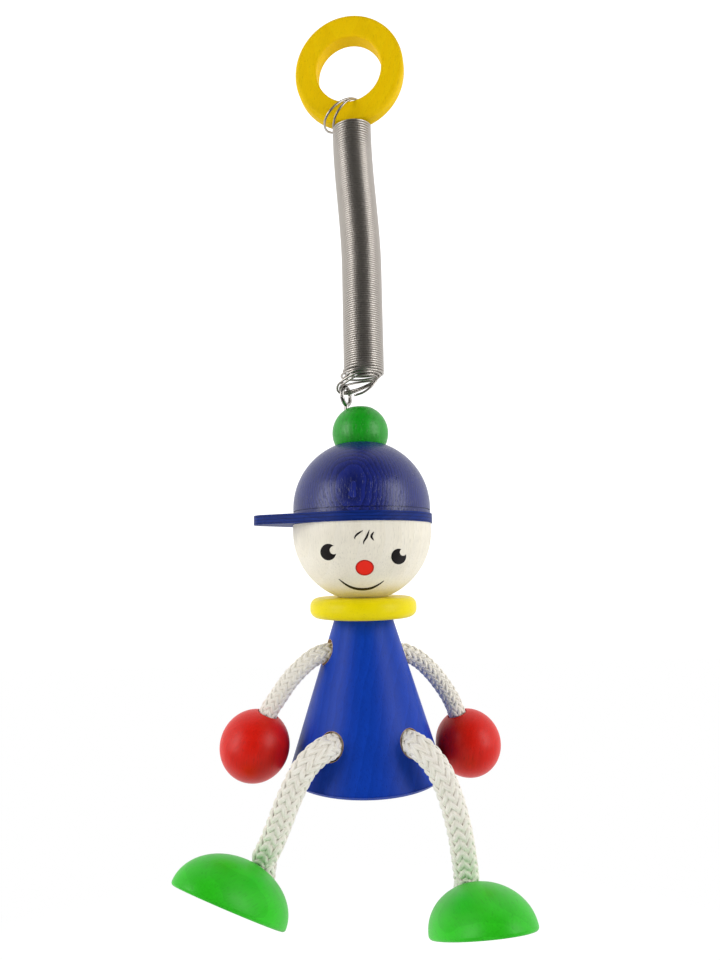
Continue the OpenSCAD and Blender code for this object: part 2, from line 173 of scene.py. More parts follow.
# The spring's last turns from the coil, over the eye, twice through it, to the free end,
# measured from the eye
HOOK_ROUTE = [
    (16.5, 0.4, 10.1), (15, -4.2, 10.1), (8.5, -8, 9.9), (3.2, -7.4, 9.1), (0.2, -4.8, 7.8),
    (-1.3, -2.5, 6.4), (-1.9, -0.5, 5.3), (-0.6, 1.8, 5.4), (3.5, 4, 6.9), (8, 5.2, 7.9),
    (12, 4.2, 8.1), (14.7, 1.6, 8.8), (15.2, -1.4, 9.2), (13.2, -4.6, 9.4), (8, -7.5, 8.9),
    (3.3, -6.6, 7.9), (0, -4.4, 6.7), (-3.1, -1.9, 5.1), (-3.9, 0.3, 3.3), (-2.9, 1.1, 1.9),
    (-0.4, 0.6, 2), (2, 0.5, 2.5), (5.7, 2.2, 3.9), (10.1, 3.4, 6.1), (12.8, 2.4, 7.5),
    (13.8, -0.6, 8.2), (12, -4.4, 8.3), (7.5, -6.3, 7.8), (3.5, -5.6, 6.9), (0.4, -3.8, 5.5),
    (-2, -1.9, 4.4), (-2.7, -0.3, 2.7), (-1.4, -0.4, 1.1), (0.7, -0.6, 0.9), (2.9, -0.2, 1.5),
    (6.6, 1, 3.2), (10.3, 1.8, 5.1), (13, 0.6, 6.6), (13.9, -1.6, 7.3), (13.1, -3.8, 5.5),
    (11, -4.8, 2.8), (7.6, -4.8, 0.3), (3.6, -4.2, -0.8),
]

# The printed face, across and up from the middle of the head as seen from the front.
# Each eye: its middle, what it adds to the radius, and the middle and radius of its bite
EYES = (
    ((-13.4, -9.1), 0.1, (-11.2, -8.4), 1.6),
    ((14.2, -11.3), -0.05, (16, -9.6), 1.4),
)
# The mouth and three hairs: their points, and their thickness at the middle and at the ends
STROKES = (
    (
        [(-9.6, -19.7), (-6.6, -22.1), (-3.6, -23.5), (0, -24), (3.5, -23.5), (6.5, -22), (8.3, -20.7)],
        1.05, 0.25,
    ),
    ([(-2.8, -4.5), (-2.8, -3.5), (-1.6, -2.3), (0.3, -1.1)], 0.75, 0.1),
    ([(0.5, -6.5), (0.6, -5.3), (1.7, -3.6), (2.8, -0.9)], 0.8, 0.1),
    ([(4.5, -5.1), (3.5, -3.4), (4.6, -1.6)], 0.85, 0.05),
)
# The nose: its middle, how far it stands before the head's middle, and half its height
NOSE = Vector((0.75, -15.4))
NOSE_DEPTH = 25.2
NOSE_HALF_HEIGHT = 3.05
# Thickness of a print's sheet, of which half sinks into the wood
PRINT_SHEET = 0.1

# The stage, in metres apart from the camera's place: the floor, the two side lights, which
# mirror each other, and the camera with its pitch and roll in degrees
FLOOR_Z = -0.75
FLOOR_SIZE = 3
LIGHT_PLACE = (0.95, -0.55, 0.05)
LIGHT_SIZE = (0.5, 0.9)
LIGHT_TARGET = (0.0, 0.0, -0.25)
CAMERA_PLACE = Vector((1.61, -276.2, -242.05))
CAMERA_PITCH = 7.2
CAMERA_ROLL = 1.0


def colour(code):
    """An sRGB hex colour as linear red, green, blue and alpha"""
    parts = [int(code[i : i + 2], 16) / 255 for i in (1, 3, 5)]
    return tuple(p / 12.92 if p <= 0.04045 else ((p + 0.055) / 1.055) ** 2.4 for p in parts) + (1.0,)


# Sizes and colours that a user would change


def length(name, text, value, low, high):
    """A size in metres"""
    return FloatProperty(
        name=name, description=text, default=value, min=low, max=high, unit="LENGTH", precision=5
    )


def paint(name, text, code):
    """A colour, given as sRGB hex"""
    return FloatVectorProperty(
        name=name, description=text, default=colour(code)[:3], size=3, min=0, max=1, subtype="COLOR"
    )


class ToySpringSettings(bpy.types.PropertyGroup):
    wire: length("Wire", "Thickness of the spring wire", 0.001, 0.0006, 0.0012)
    outside: length("Outside", "Outside diameter of the coil", 0.018, 0.016, 0.02)
    turns: IntProperty(
        name="Turns", description="Turns of the close-wound coil", default=112, min=60, max=130
    )
    steps: IntProperty(name="Steps", description="Steps in one turn", default=40, min=16, max=64)
    steel: paint("Steel", "Colour of the drawn wire", "#BDB7B0")


class ToyRopeSettings(bpy.types.PropertyGroup):
    arm: length("Arm rope", "Thickness of the arm ropes", 0.0078, 0.006, 0.009)
    leg: length("Leg rope", "Thickness of the leg ropes", 0.0096, 0.008, 0.0104)
    strands: IntProperty(
        name="Strands", description="Strands of the braid, half each way round",
        default=24, min=8, max=24,
    )
    lay: FloatProperty(
        name="Lay", description="Length of one strand's turn, in rope thicknesses",
        default=4.4, min=2, max=6,
    )
    cotton: paint("Cotton", "Colour of the cotton", "#FBF7EE")


class ToyWoodSettings(bpy.types.PropertyGroup):
    yellow: paint("Yellow", "Lacquer of the ring", "#E8BE00")
    collar: paint("Collar", "Lacquer of the collar", "#F0DC00")
    green: paint("Green", "Stain of the bobble", "#009E0A")
    navy: paint("Dark blue", "Stain of the dome", "#04145E")
    brim_blue: paint("Brim blue", "Stain of the peak", "#0A2A7A")
    blue: paint("Blue", "Stain of the torso", "#063CAE")
    red: paint("Red", "Lacquer of the hands", "#E41602")
    leaf: paint("Leaf green", "Lacquer of the feet", "#28C414")
    pale: paint("Whitewash", "Wash of the head", "#F3ECDA")
    bare: paint("Bare beech", "Wood where the stain stops", "#C9A36B")


class ToyFaceSettings(bpy.types.PropertyGroup):
    eye: length("Eye", "Radius of the eyes", 0.0031, 0.002, 0.005)
    nose: length("Nose", "Half width of the nose", 0.0036, 0.002, 0.005)
    film: length("Film", "Height of the print over the wood", 0.00005, 0.00002, 0.0002)
    black: paint("Black", "Print of eyes, hair and mouth", "#191214")
    red: paint("Red", "Print of the nose", "#F01E02")


class ToyStageSettings(bpy.types.PropertyGroup):
    lens: FloatProperty(
        name="Lens", description="Focal length of the camera in millimetres",
        default=24, min=10, max=80,
    )
    side_light: FloatProperty(
        name="Side lights", description="Watts of each side light", default=6, min=0, max=100
    )


# Shared steps


def add(tree, kind, settings=(), inputs=()):
    """Adds a node, sets its properties, and fills or links its sockets by name or number"""
    node = tree.nodes.new("ShaderNode" + kind)
    for name, value in dict(settings).items():
        setattr(node, name, value)
    for name, value in dict(inputs).items():
        if isinstance(value, bpy.types.NodeSocket):
            tree.links.new(value, node.inputs[name])
        else:
            node.inputs[name].default_value = value
    return node


def new_material(name):
    """A material whose nodes are still to be added, and its node tree"""
    material = bpy.data.materials.new(name)
    material.use_nodes = True
    material.node_tree.nodes.clear()
    return material, material.node_tree


def close_material(tree, shader, bump=None):
    """Joins the shader, and its bump if it has one, to the output"""
    if bump is not None:
        tree.links.new(bump, shader.inputs["Normal"])
    add(tree, "OutputMaterial", {}, {"Surface": shader.outputs[0]})


def dress(node, material):
    """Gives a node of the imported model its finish"""
    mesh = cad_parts[node].data
    mesh.materials.clear()
    mesh.materials.append(material)


def finish_piece(bm, name, material, sharp=None):
    """Turns a mesh in millimetres into a smooth piece in metres"""
    bmesh.ops.scale(bm, vec=(MM, MM, MM), verts=bm.verts)
    bmesh.ops.recalc_face_normals(bm, faces=bm.faces)
    mesh = bpy.data.meshes.new(name)
    bm.to_mesh(mesh)
    bm.free()
    mesh.shade_smooth()
    if sharp is not None:
        mesh.set_sharp_from_angle(angle=math.radians(sharp))
    mesh.materials.append(material)
    piece = bpy.data.objects.new(name, mesh)
    bpy.context.scene.collection.objects.link(piece)
    return piece


def smooth_route(points, steps):
    """Points along a smooth curve through the given ones"""
    points = [Vector(p) for p in points]
    last = len(points) - 1
    made = []
    for i in range(last):
        a, b = points[max(i - 1, 0)], points[i]
        c, d = points[i + 1], points[min(i + 2, last)]
        straight = c - a
        squared = 2 * a - 5 * b + 4 * c - d
        cubed = 3 * b - a - 3 * c + d
        for s in range(steps):
            t = s / steps
            made.append((2 * b + straight * t + squared * t * t + cubed * t**3) / 2)
    return made + [points[last]]


class Track:
    """Evenly spaced places along a route, each with two directions square to it"""

    def __init__(self, points, step):
        reach = [0.0]
        for a, b in zip(points, points[1:]):
            reach.append(reach[-1] + (b - a).length)
        self.length = reach[-1]
        self.count = max(2, round(self.length / step)) + 1
        self.points = []
        k = 0
        for i in range(self.count):
            at = self.length * i / (self.count - 1)
            while k < len(reach) - 2 and reach[k + 1] < at:
                k += 1
            share = (at - reach[k]) / max(reach[k + 1] - reach[k], 1e-9)
            self.points.append(points[k].lerp(points[k + 1], min(share, 1)))
        self.ways = [
            (self.points[min(i + 1, self.count - 1)] - self.points[max(i - 1, 0)]).normalized()
            for i in range(self.count)
        ]
        side = self.ways[0].orthogonal().normalized()
        self.sides = []
        for way in self.ways:
            side = (side - way * side.dot(way)).normalized()
            self.sides.append(side)

    def place(self, i, angle, radius):
        """The point at a step, at an angle round the route and a distance from it"""
        way, side = self.ways[i], self.sides[i]
        return self.points[i] + radius * (math.cos(angle) * side + math.sin(angle) * way.cross(side))


def bent_sheet(bm, across, along, place, uv=None):
    """A grid whose points are moved to where place(across share, along share) says"""
    sheet = bmesh.ops.create_grid(
        bm, x_segments=across, y_segments=along, size=0.5, calc_uvs=uv is not None
    )
    for vert in sheet["verts"]:
        vert.co = place(vert.co.x + 0.5, vert.co.y + 0.5)
    return sheet["verts"]


def wire_tube(bm, points, thickness, sides, step):
    """A closed round tube along a route"""
    track = Track(points, step)

    def place(u, v):
        i = round(v * (track.count - 1))
        return track.place(i, 2 * math.pi * u, thickness / 2)

    verts = bent_sheet(bm, sides, track.count - 1, place)
    bmesh.ops.remove_doubles(bm, verts=verts, dist=thickness * 0.001)
    ends = [e for e in bm.edges if e.is_boundary]
    bmesh.ops.holes_fill(bm, edges=ends, sides=0)


# Finishes


def rgba(value):
    """A colour property as red, green, blue and alpha"""
    return (value[0], value[1], value[2], 1.0)


def darker(stain, share):
    """A stain with a share of its light taken away"""
    return [p * (1 - share) for p in stain[:3]] + [1.0]


def lighter(stain, share):
    """A stain with a share of its light added to it"""
    return [min(1.0, p * (1 + share) + 0.01 * share) for p in stain[:3]] + [1.0]


def bore_share(tree, coords, centre, way, radius, through):
    """One inside a bore and on its rim, nought elsewhere"""
    away = add(
        tree, "VectorMath", {"operation": "SUBTRACT"}, {0: coords, 1: centre * MM}
    ).outputs["Vector"]
    across = add(
        tree, "VectorMath", {"operation": "CROSS_PRODUCT"}, {0: away, 1: way}
    ).outputs["Vector"]
    reach = add(tree, "VectorMath", {"operation": "LENGTH"}, {0: across}).outputs["Value"]
    inside = add(
        tree, "MapRange", {},
        {"Value": reach, "From Min": (radius + 0.2) * MM, "From Max": (radius + 0.05) * MM},
    ).outputs["Result"]
    if through:
        return inside
    ahead = add(
        tree, "VectorMath", {"operation": "DOT_PRODUCT"}, {0: away, 1: way}
    ).outputs["Value"]
    front = add(tree, "Math", {"operation": "GREATER_THAN"}, {0: ahead, 1: 0.0}).outputs["Value"]
    return add(tree, "Math", {"operation": "MULTIPLY"}, {0: inside, 1: front}).outputs["Value"]


def turned_wood(
    name, stain, log, lean, ring, streak, gloss, sheen, arcs=0.35, relief=0.25,
    bores=(), bare=None, plies=None,
):
    """Turned beech under stain or lacquer. The eye gets growth rings a few millimetres
    apart, fine lengthwise streaks and short pores, and a soft sheen broken by the grain.
    Pores are 0.1 mm wide on the real wood and are drawn 0.4 mm wide so that they show.
    log is a point on the heart of the log that the piece was cut from, lean the way of its
    grain in degrees, and ring the distance of its growth rings in millimetres."""
    material, tree = new_material(name)
    coords = add(tree, "TexCoord").outputs["Object"]
    placed = add(
        tree, "Mapping", {"vector_type": "TEXTURE"},
        {"Vector": coords, "Location": Vector(log) * MM, "Rotation": [math.radians(t) for t in lean]},
    ).outputs["Vector"]
    # the growth rings wander by a few millimetres, over stretches of 22 mm
    wander = add(tree, "TexNoise", {}, {"Vector": placed, "Scale": 45.0, "Detail": 2.0})
    bent = add(
        tree, "VectorMath", {"operation": "MULTIPLY_ADD"},
        {0: wander.outputs["Color"], 1: (0.006, 0.006, 0.006), 2: placed},
    ).outputs["Vector"]
    rings = add(
        tree, "TexWave", {"wave_type": "RINGS", "rings_direction": "Z", "wave_profile": "SAW"},
        {
            "Vector": bent, "Scale": WAVE / (ring * MM), "Distortion": 0.6, "Detail": 2.0,
            "Detail Scale": 0.6,
        },
    ).outputs["Fac"]
    long_grain = add(tree, "Mapping", {}, {"Vector": placed, "Scale": (1, 1, 0.05)}).outputs["Vector"]
    # streaks lie about 0.8 mm apart and clouds of stain about 11 mm
    streaks = add(
        tree, "TexNoise", {},
        {"Vector": long_grain, "Scale": 1300.0, "Detail": 5.0, "Roughness": 0.65},
    ).outputs["Fac"]
    short_grain = add(tree, "Mapping", {}, {"Vector": placed, "Scale": (1, 1, 0.12)}).outputs["Vector"]
    pores = add(
        tree, "TexNoise", {}, {"Vector": short_grain, "Scale": 2600.0, "Detail": 1.0}
    ).outputs["Fac"]
    pore_share = add(
        tree, "MapRange", {}, {"Value": pores, "From Min": 0.6, "From Max": 0.72}
    ).outputs["Result"]
    clouds = add(
        tree, "TexNoise", {}, {"Vector": placed, "Scale": 90.0, "Detail": 3.0}
    ).outputs["Fac"]
    streak_share = add(
        tree, "MapRange", {},
        {"Value": streaks, "From Min": 0.3, "From Max": 0.7, "To Min": streak, "To Max": 0.0},
    ).outputs["Result"]
    ring_share = add(
        tree, "Math", {"operation": "MULTIPLY"}, {0: rings, 1: arcs}
    ).outputs["Value"]
    cloud_share = add(
        tree, "MapRange", {}, {"Value": clouds, "From Min": 0.45, "From Max": 0.75, "To Max": 0.4}
    ).outputs["Result"]
    dark_pores = add(
        tree, "Math", {"operation": "MULTIPLY"}, {0: pore_share, 1: 0.2 + 0.5 * streak}
    ).outputs["Value"]
    # the colours that lie over the stain, each with the share it covers
    marks = [
        (streak_share, darker(stain, 0.6)),
        (ring_share, lighter(stain, 1.2)),
        (cloud_share, darker(stain, 0.25)),
        (dark_pores, darker(stain, 0.55)),
    ]
    for centre, way, radius, through in bores:
        marks.append((bore_share(tree, coords, centre, way, radius, through), bare))
    if plies is not None:
        # the glue lines between the plies show as dark lines round the edge
        place, thick = plies
        layers = add(
            tree, "Mapping", {"vector_type": "TEXTURE"}, {"Vector": coords, "Location": (0, 0, place * MM)}
        ).outputs["Vector"]
        lines = add(
            tree, "TexWave", {"bands_direction": "Z"},
            {"Vector": layers, "Scale": WAVE / (thick * MM), "Distortion": 0.4, "Detail Scale": 3.0},
        ).outputs["Fac"]
        glue = add(
            tree, "MapRange", {}, {"Value": lines, "From Min": 0.8, "From Max": 0.95, "To Max": 0.75}
        ).outputs["Result"]
        marks.append((glue, darker(stain, 0.7)))
    face = stain
    for share, over in marks:
        face = add(
            tree, "Mix", {"data_type": "RGBA"}, {"Factor": share, 6: face, 7: over}
        ).outputs[2]
    rough = add(
        tree, "MapRange", {}, {"Value": streaks, "To Min": gloss - 0.05, "To Max": gloss + 0.15}
    ).outputs["Result"]
    height = add(
        tree, "Math", {"operation": "MULTIPLY_ADD"}, {0: pore_share, 1: -0.7, 2: streaks}
    ).outputs["Value"]
    bump = add(
        tree, "Bump", {}, {"Height": height, "Strength": relief, "Distance": 0.00015}
    ).outputs["Normal"]
    shader = add(
        tree, "BsdfPrincipled", {},
        {"Base Color": face, "Roughness": rough, "IOR": 1.5, "Specular IOR Level": sheen},
    )
    close_material(tree, shader, bump)
    return material


def spring_steel(code):
    """Drawn spring steel wire: a grey metal, bright along each turn's top and dark between turns,
    whose gloss varies a little over spots of 1.4 mm. Its drawing marks are too fine to show."""
    material, tree = new_material("Drawn spring steel")
    coords = add(tree, "TexCoord").outputs["Object"]
    spots = add(tree, "TexNoise", {}, {"Vector": coords, "Scale": 700.0, "Detail": 3.0}).outputs["Fac"]
    rough = add(
        tree, "MapRange", {},
        {"Value": spots, "From Min": 0.3, "From Max": 0.7, "To Min": 0.33, "To Max": 0.4},
    ).outputs["Result"]
    shader = add(
        tree, "BsdfPrincipled", {}, {"Base Color": code, "Metallic": 1.0, "Roughness": rough}
    )
    close_material(tree, shader)
    return material


def plated_steel():
    """Zinc plated steel of the screw eye: glossier than the spring, softly mottled."""
    material, tree = new_material("Bright zinc plate")
    coords = add(tree, "TexCoord").outputs["Object"]
    spots = add(tree, "TexNoise", {}, {"Vector": coords, "Scale": 900.0, "Detail": 2.0}).outputs["Fac"]
    rough = add(
        tree, "MapRange", {}, {"Value": spots, "To Min": 0.12, "To Max": 0.3}
    ).outputs["Result"]
    shader = add(
        tree, "BsdfPrincipled", {},
        {"Base Color": colour("#ABA8A3"), "Metallic": 1.0, "Roughness": rough},
    )
    close_material(tree, shader)
    return material


def braided_cotton(code):
    """Bleached cotton yarn: matte and fuzzy, with fine threads along each strand, about
    0.25 mm apart."""
    material, tree = new_material("Braided cotton yarn")
    uv = add(tree, "UVMap", {"uv_map": "UVMap"}).outputs["UV"]
    lines = add(
        tree, "Mapping", {}, {"Vector": uv, "Scale": (20, 30, 1), "Rotation": (0, 0, 0.08)}
    ).outputs["Vector"]
    threads = add(
        tree, "TexNoise", {"noise_dimensions": "2D"},
        {"Vector": lines, "Scale": 1.0, "Detail": 3.0, "Roughness": 0.7},
    ).outputs["Fac"]
    coords = add(tree, "TexCoord").outputs["Object"]
    fuzz = add(tree, "TexNoise", {}, {"Vector": coords, "Scale": 1500.0, "Detail": 4.0}).outputs["Fac"]
    tone = add(
        tree, "MapRange", {}, {"Value": threads, "From Min": 0.3, "From Max": 0.65}
    ).outputs["Result"]
    face = add(
        tree, "Mix", {"data_type": "RGBA"}, {"Factor": tone, 6: colour("#E8E1D2"), 7: code}
    ).outputs[2]
    # painted shade: the sides of a strand lie deep against its neighbours, and the shade there is painted
    # in as fine dark lines
    across = add(tree, "SeparateXYZ", {}, {"Vector": uv}).outputs["X"]
    side = add(tree, "Math", {"operation": "PINGPONG"}, {0: across, 1: 0.25}).outputs["Value"]
    painted_crease_shade = add(
        tree, "MapRange", {},
        {"Value": side, "From Min": 0.0, "From Max": 0.06, "To Min": 0.5, "To Max": 0.0},
    ).outputs["Result"]
    face = add(
        tree, "Mix", {"data_type": "RGBA"}, {"Factor": painted_crease_shade, 6: face, 7: colour("#8C8371")}
    ).outputs[2]
    height = add(tree, "Math", {"operation": "ADD"}, {0: threads, 1: fuzz}).outputs["Value"]
    bump = add(
        tree, "Bump", {}, {"Height": height, "Strength": 0.5, "Distance": 0.0002}
    ).outputs["Normal"]
    shader = add(
        tree, "BsdfPrincipled", {},
        {"Base Color": face, "Roughness": 0.9, "Sheen Weight": 0.35, "Sheen Roughness": 0.5},
    )
    close_material(tree, shader, bump)
    return material


def pad_print(name, code, rim=None):
    """Pad printed enamel: an even, slightly glossy film that lets a little of the grain through.
    The ink is thickest, and looks darkest, along the rim of a large spot."""
    material, tree = new_material(name)
    coords = add(tree, "TexCoord").outputs["Object"]
    grain = add(
        tree, "Mapping", {}, {"Vector": coords, "Scale": (1, 1, 0.08)}
    ).outputs["Vector"]
    marks = add(tree, "TexNoise", {}, {"Vector": grain, "Scale": 900.0, "Detail": 3.0}).outputs["Fac"]
    rough = add(
        tree, "MapRange", {}, {"Value": marks, "To Min": 0.3, "To Max": 0.5}
    ).outputs["Result"]
    face = code
    if rim is not None:
        centre, wide, high = rim
        placed = add(
            tree, "Mapping", {"vector_type": "TEXTURE"},
            {"Vector": coords, "Location": centre * MM, "Scale": (wide * MM, 1, high * MM)},
        ).outputs["Vector"]
        reach = add(tree, "VectorMath", {"operation": "LENGTH"}, {0: placed}).outputs["Value"]
        edge = add(
            tree, "MapRange", {}, {"Value": reach, "From Min": 0.8, "From Max": 0.93, "To Max": 0.8}
        ).outputs["Result"]
        face = add(
            tree, "Mix", {"data_type": "RGBA"}, {"Factor": edge, 6: code, 7: darker(code, 0.65)}
        ).outputs[2]
    shader = add(
        tree, "BsdfPrincipled", {}, {"Base Color": face, "Roughness": rough, "Specular IOR Level": 0.3}
    )
    close_material(tree, shader)
    return material


# Pieces


class TOY_OT_spring(bpy.types.Operator):
    """Winds the spring: the turns round the ring, the close-wound coil, and the hooked end"""

    bl_idname = "toy.spring"
    bl_label = "Spring"

    def execute(self, context):
        sizes = context.scene.toy_spring
        wire, radius = sizes.wire / MM, (sizes.outside - sizes.wire) / MM / 2
        last = round((sizes.turns + LOW_TURNS) * sizes.steps)
        coil = [self.coil_point(sizes, radius, wire, i) for i in range(last)]
        hook = [Vector(p) + EYE_MIDDLE for p in HOOK_ROUTE]
        lead_out = smooth_route(coil[-3:] + hook, 8)
        route = self.hanger(coil[0])[::-1] + coil[1:-3] + lead_out
        bm = bmesh.new()
        wire_tube(bm, route, wire, sides=10, step=1.2)
        steel = spring_steel(rgba(sizes.steel))
        piece = finish_piece(bm, "spring", steel)
        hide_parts("spring_hanger", "spring_coil", "spring_hook")
        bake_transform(piece)
        return {"FINISHED"}

    def coil_point(self, sizes, radius, wire, i):
        """A point on the close-wound coil, which bows to the side and fans out at its ends"""
        turn = i / sizes.steps
        share = turn / sizes.turns
        angle = math.pi - 2 * math.pi * turn
        x, y = math.cos(angle), math.sin(angle)
        bow = min(1, share / COIL_BOW_SHARE)
        middle = COIL_TOP_X + COIL_BOW * bow * bow * (3 - 2 * bow) + COIL_LEAN * share
        height = COIL_TOP_Z - wire / 2 - (COIL_TOP_Z - COIL_BOTTOM_Z - wire) * share
        # the pull of the ring draws the top turns up, most of all behind
        evenly, behind, right = TOP_DRAWN
        lifted = max(0, 1 - turn / TOP_DRAWN_TURNS) ** DRAWN_FADE
        height += lifted * (evenly + behind * y + right * x)
        # the pull of the hook draws the last turns down and out to the left
        left_share = ((1 - x) / 2) ** DRAWN_SIDE
        turns_left = sizes.turns + LOW_TURNS - turn
        drawn = max(0, 1 - turns_left / LOW_DRAWN_TURNS) ** DRAWN_FADE * left_share
        height -= drawn * LOW_DRAWN[0]
        middle -= drawn * LOW_DRAWN[1]
        return Vector((middle + radius * x, radius * y, height))

    def hanger(self, start):
        """The route of the turns that go round the ring on the slant"""
        slant = math.radians(HANGER_SLANT)
        left, low = HANGER_STEP
        points = []
        for i in range(HANGER_POINTS):
            turn = i / HANGER_TURN_POINTS
            angle = math.pi + 2 * math.pi * turn
            down = (1 - math.cos(angle)) / 2
            reach = HANGER_HALF_HEIGHT * (1 + math.cos(angle))
            # the first half turn carries the wire forward, and the rest keeps it there
            forward = 1 - math.cos(2 * math.pi * min(turn, 0.5))
            points.append(
                start
                + reach * Vector((math.cos(slant), HANGER_BACK, math.sin(slant)))
                + Vector((0, HANGER_HALF_DEPTH * math.sin(angle) - forward, 0))
                - Vector((turn * left * down, 0, turn * low * down))
            )
        return points


class TOY_OT_ropes(bpy.types.Operator):
    """Braids the arm and leg ropes, strand over strand"""

    bl_idname = "toy.ropes"
    bl_label = "Ropes"

    def execute(self, context):
        sizes = context.scene.toy_rope
        cotton = braided_cotton(rgba(sizes.cotton))
        for side, sign in (("left", -1), ("right", 1)):
            at, way = HANDS[side]
            points = [ARM_BORE_MIDDLE + sign * ARM_WAY * along for along in ARM_ROOT]
            points += smooth_route(ROPE_ROUTES[side + "_arm"], 6)
            points += [at + way * out for out in HAND_END]
            self.braid(sizes, side + "_arm", points, sizes.arm / MM, cotton, "figure", side + "_arm")
        for side, way in LEG_WAYS.items():
            points = [LEG_HOLES_MIDDLE + way * along for along in LEG_ROOT]
            points += smooth_route(ROPE_ROUTES[side + "_leg"], 6)
            points += [foot_hole(side, depth) for depth in FOOT_END]
            self.braid(sizes, side + "_leg", points, sizes.leg / MM, cotton, "figure", side + "_leg")
        return {"FINISHED"}

    def braid(self, sizes, name, points, thickness, cotton, near, far):
        """One rope: strands that wind both ways round it, and the yarns inside"""
        bm = bmesh.new()
        uv = bm.loops.layers.uv.new("UVMap")
        track = Track(points, BRAID_STEP)
        half = sizes.strands // 2
        lay = sizes.lay * thickness
        lift = STRAND_LIFT * thickness
        bulge = STRAND_BULGE * thickness
        middle = thickness / 2 - lift - bulge
        spread = math.pi / half

        # the far end is bound thin where it is glued in, which leaves the ankles room to turn
        def full(v):
            return 1 - BOUND_SHARE * max(0, 1 - track.length * (1 - v) / BOUND_END)

        for k in range(sizes.strands):
            turn_way = 1 if k < half else -1
            first = 2 * math.pi * (k % half) / half

            def place(u, v, turn_way=turn_way, first=first):
                i = round(v * (track.count - 1))
                angle = first + turn_way * 2 * math.pi * track.length * v / lay
                # over two strands and under two gives columns that run along the rope
                over = turn_way * math.sin(half / 2 * angle)
                # a strand stays up or down for a while before it crosses, and spreads when up
                centre = middle + lift * max(-1, min(1, 1.5 * over))
                a = 2 * math.pi * u
                wide = spread * (1 + 0.1 * max(0, over))
                return track.place(i, angle + math.cos(a) * wide, full(v) * (centre + math.sin(a) * bulge))

            verts = bent_sheet(bm, 8, track.count - 1, place, uv)
            bmesh.ops.remove_doubles(bm, verts=verts, dist=0.0001)

        # the yarns inside, which fill the braid
        def core(u, v):
            return track.place(round(v * (track.count - 1)), 2 * math.pi * u, full(v) * (middle - lift))

        verts = bent_sheet(bm, 16, track.count - 1, core, uv)
        bmesh.ops.remove_doubles(bm, verts=verts, dist=0.0001)
        bmesh.ops.holes_fill(bm, edges=[e for e in bm.edges if e.is_boundary], sides=0)
        piece = finish_piece(bm, name + "_braid", cotton)
        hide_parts(name + "_rope")
        path = [tuple(p * MM) for p in track.points[::4]] + [tuple(track.points[-1] * MM)]
        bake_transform(piece)
        tuple(path[0])


def foot_matrix(side):
    """Moves a foot from the origin, flat and with its toes to the front, to its place"""
    at, turn, rise = FEET[side]
    return (
        Matrix.Translation(at)
        @ Matrix.Rotation(math.radians(turn), 4, "Z")
        @ Matrix.Rotation(math.radians(-rise), 4, "X")
    )


def foot_hole(side, depth):
    """A point on the axis of a foot's hole, at a depth below its mouth"""
    mouth = FOOT_HEIGHT * math.sqrt(1 - (2 * FOOT_HOLE_BACK / FOOT_LENGTH) ** 2)
    back = FOOT_HOLE_BACK + depth * math.sin(FOOT_HOLE_LEAN)
    return foot_matrix(side) @ Vector((0, back, mouth - depth * math.cos(FOOT_HOLE_LEAN)))


